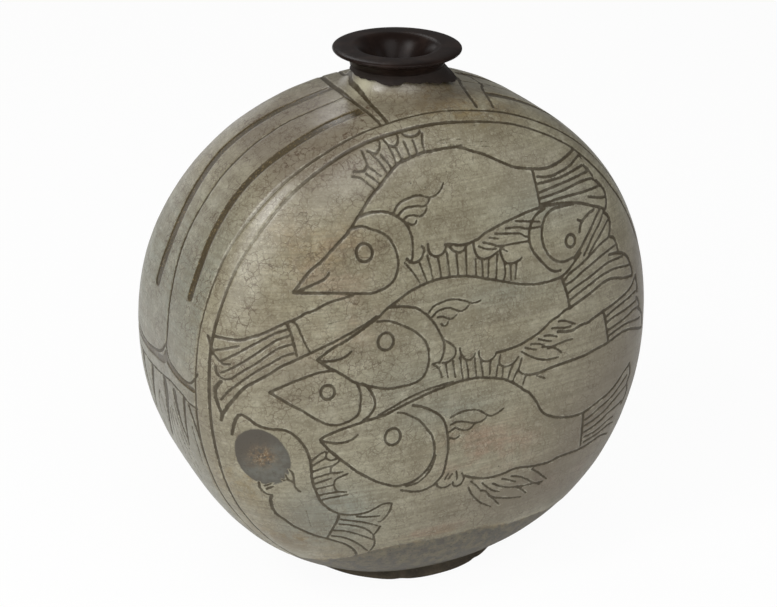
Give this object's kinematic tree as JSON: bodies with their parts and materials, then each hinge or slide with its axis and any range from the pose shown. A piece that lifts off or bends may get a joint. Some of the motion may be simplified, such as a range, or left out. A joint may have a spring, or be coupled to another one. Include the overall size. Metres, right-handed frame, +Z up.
{
  "type": "flask",
  "caption": "Flat-sided stoneware flask with a foot ring, an incised fish design under a clear grey-green glaze, and a restored dark lacquered collar and mouth.",
  "frame": {"origin": "middle of the foot ring's underside, on the surface that the flask stands on", "axes": "+Z up through the mouth, -Y out of the front face with the ground scar, +X to the right seen from the front"},
  "size_m": [0.193, 0.1312, 0.2023],
  "materials": {
    "slipped_stoneware": "grey-buff slip with brown incised lines under a thin, satin, faintly green glaze",
    "foot_clay": "dark brown, partly glazed stoneware",
    "bare_clay": "broken unglazed grey-brown clay",
    "lacquer_putty": "matt black-brown putty of lacquer and clay",
    "lacquered_wood": "glossy black-brown lacquer on turned wood"
  },
  "bodies": {
    "root": {"flask_body": "slipped_stoneware", "foot_ring": "foot_clay", "neck_stub": "bare_clay", "neck_collar": "lacquer_putty", "mouth_rim": "lacquered_wood"}
  },
  "joints": []
}
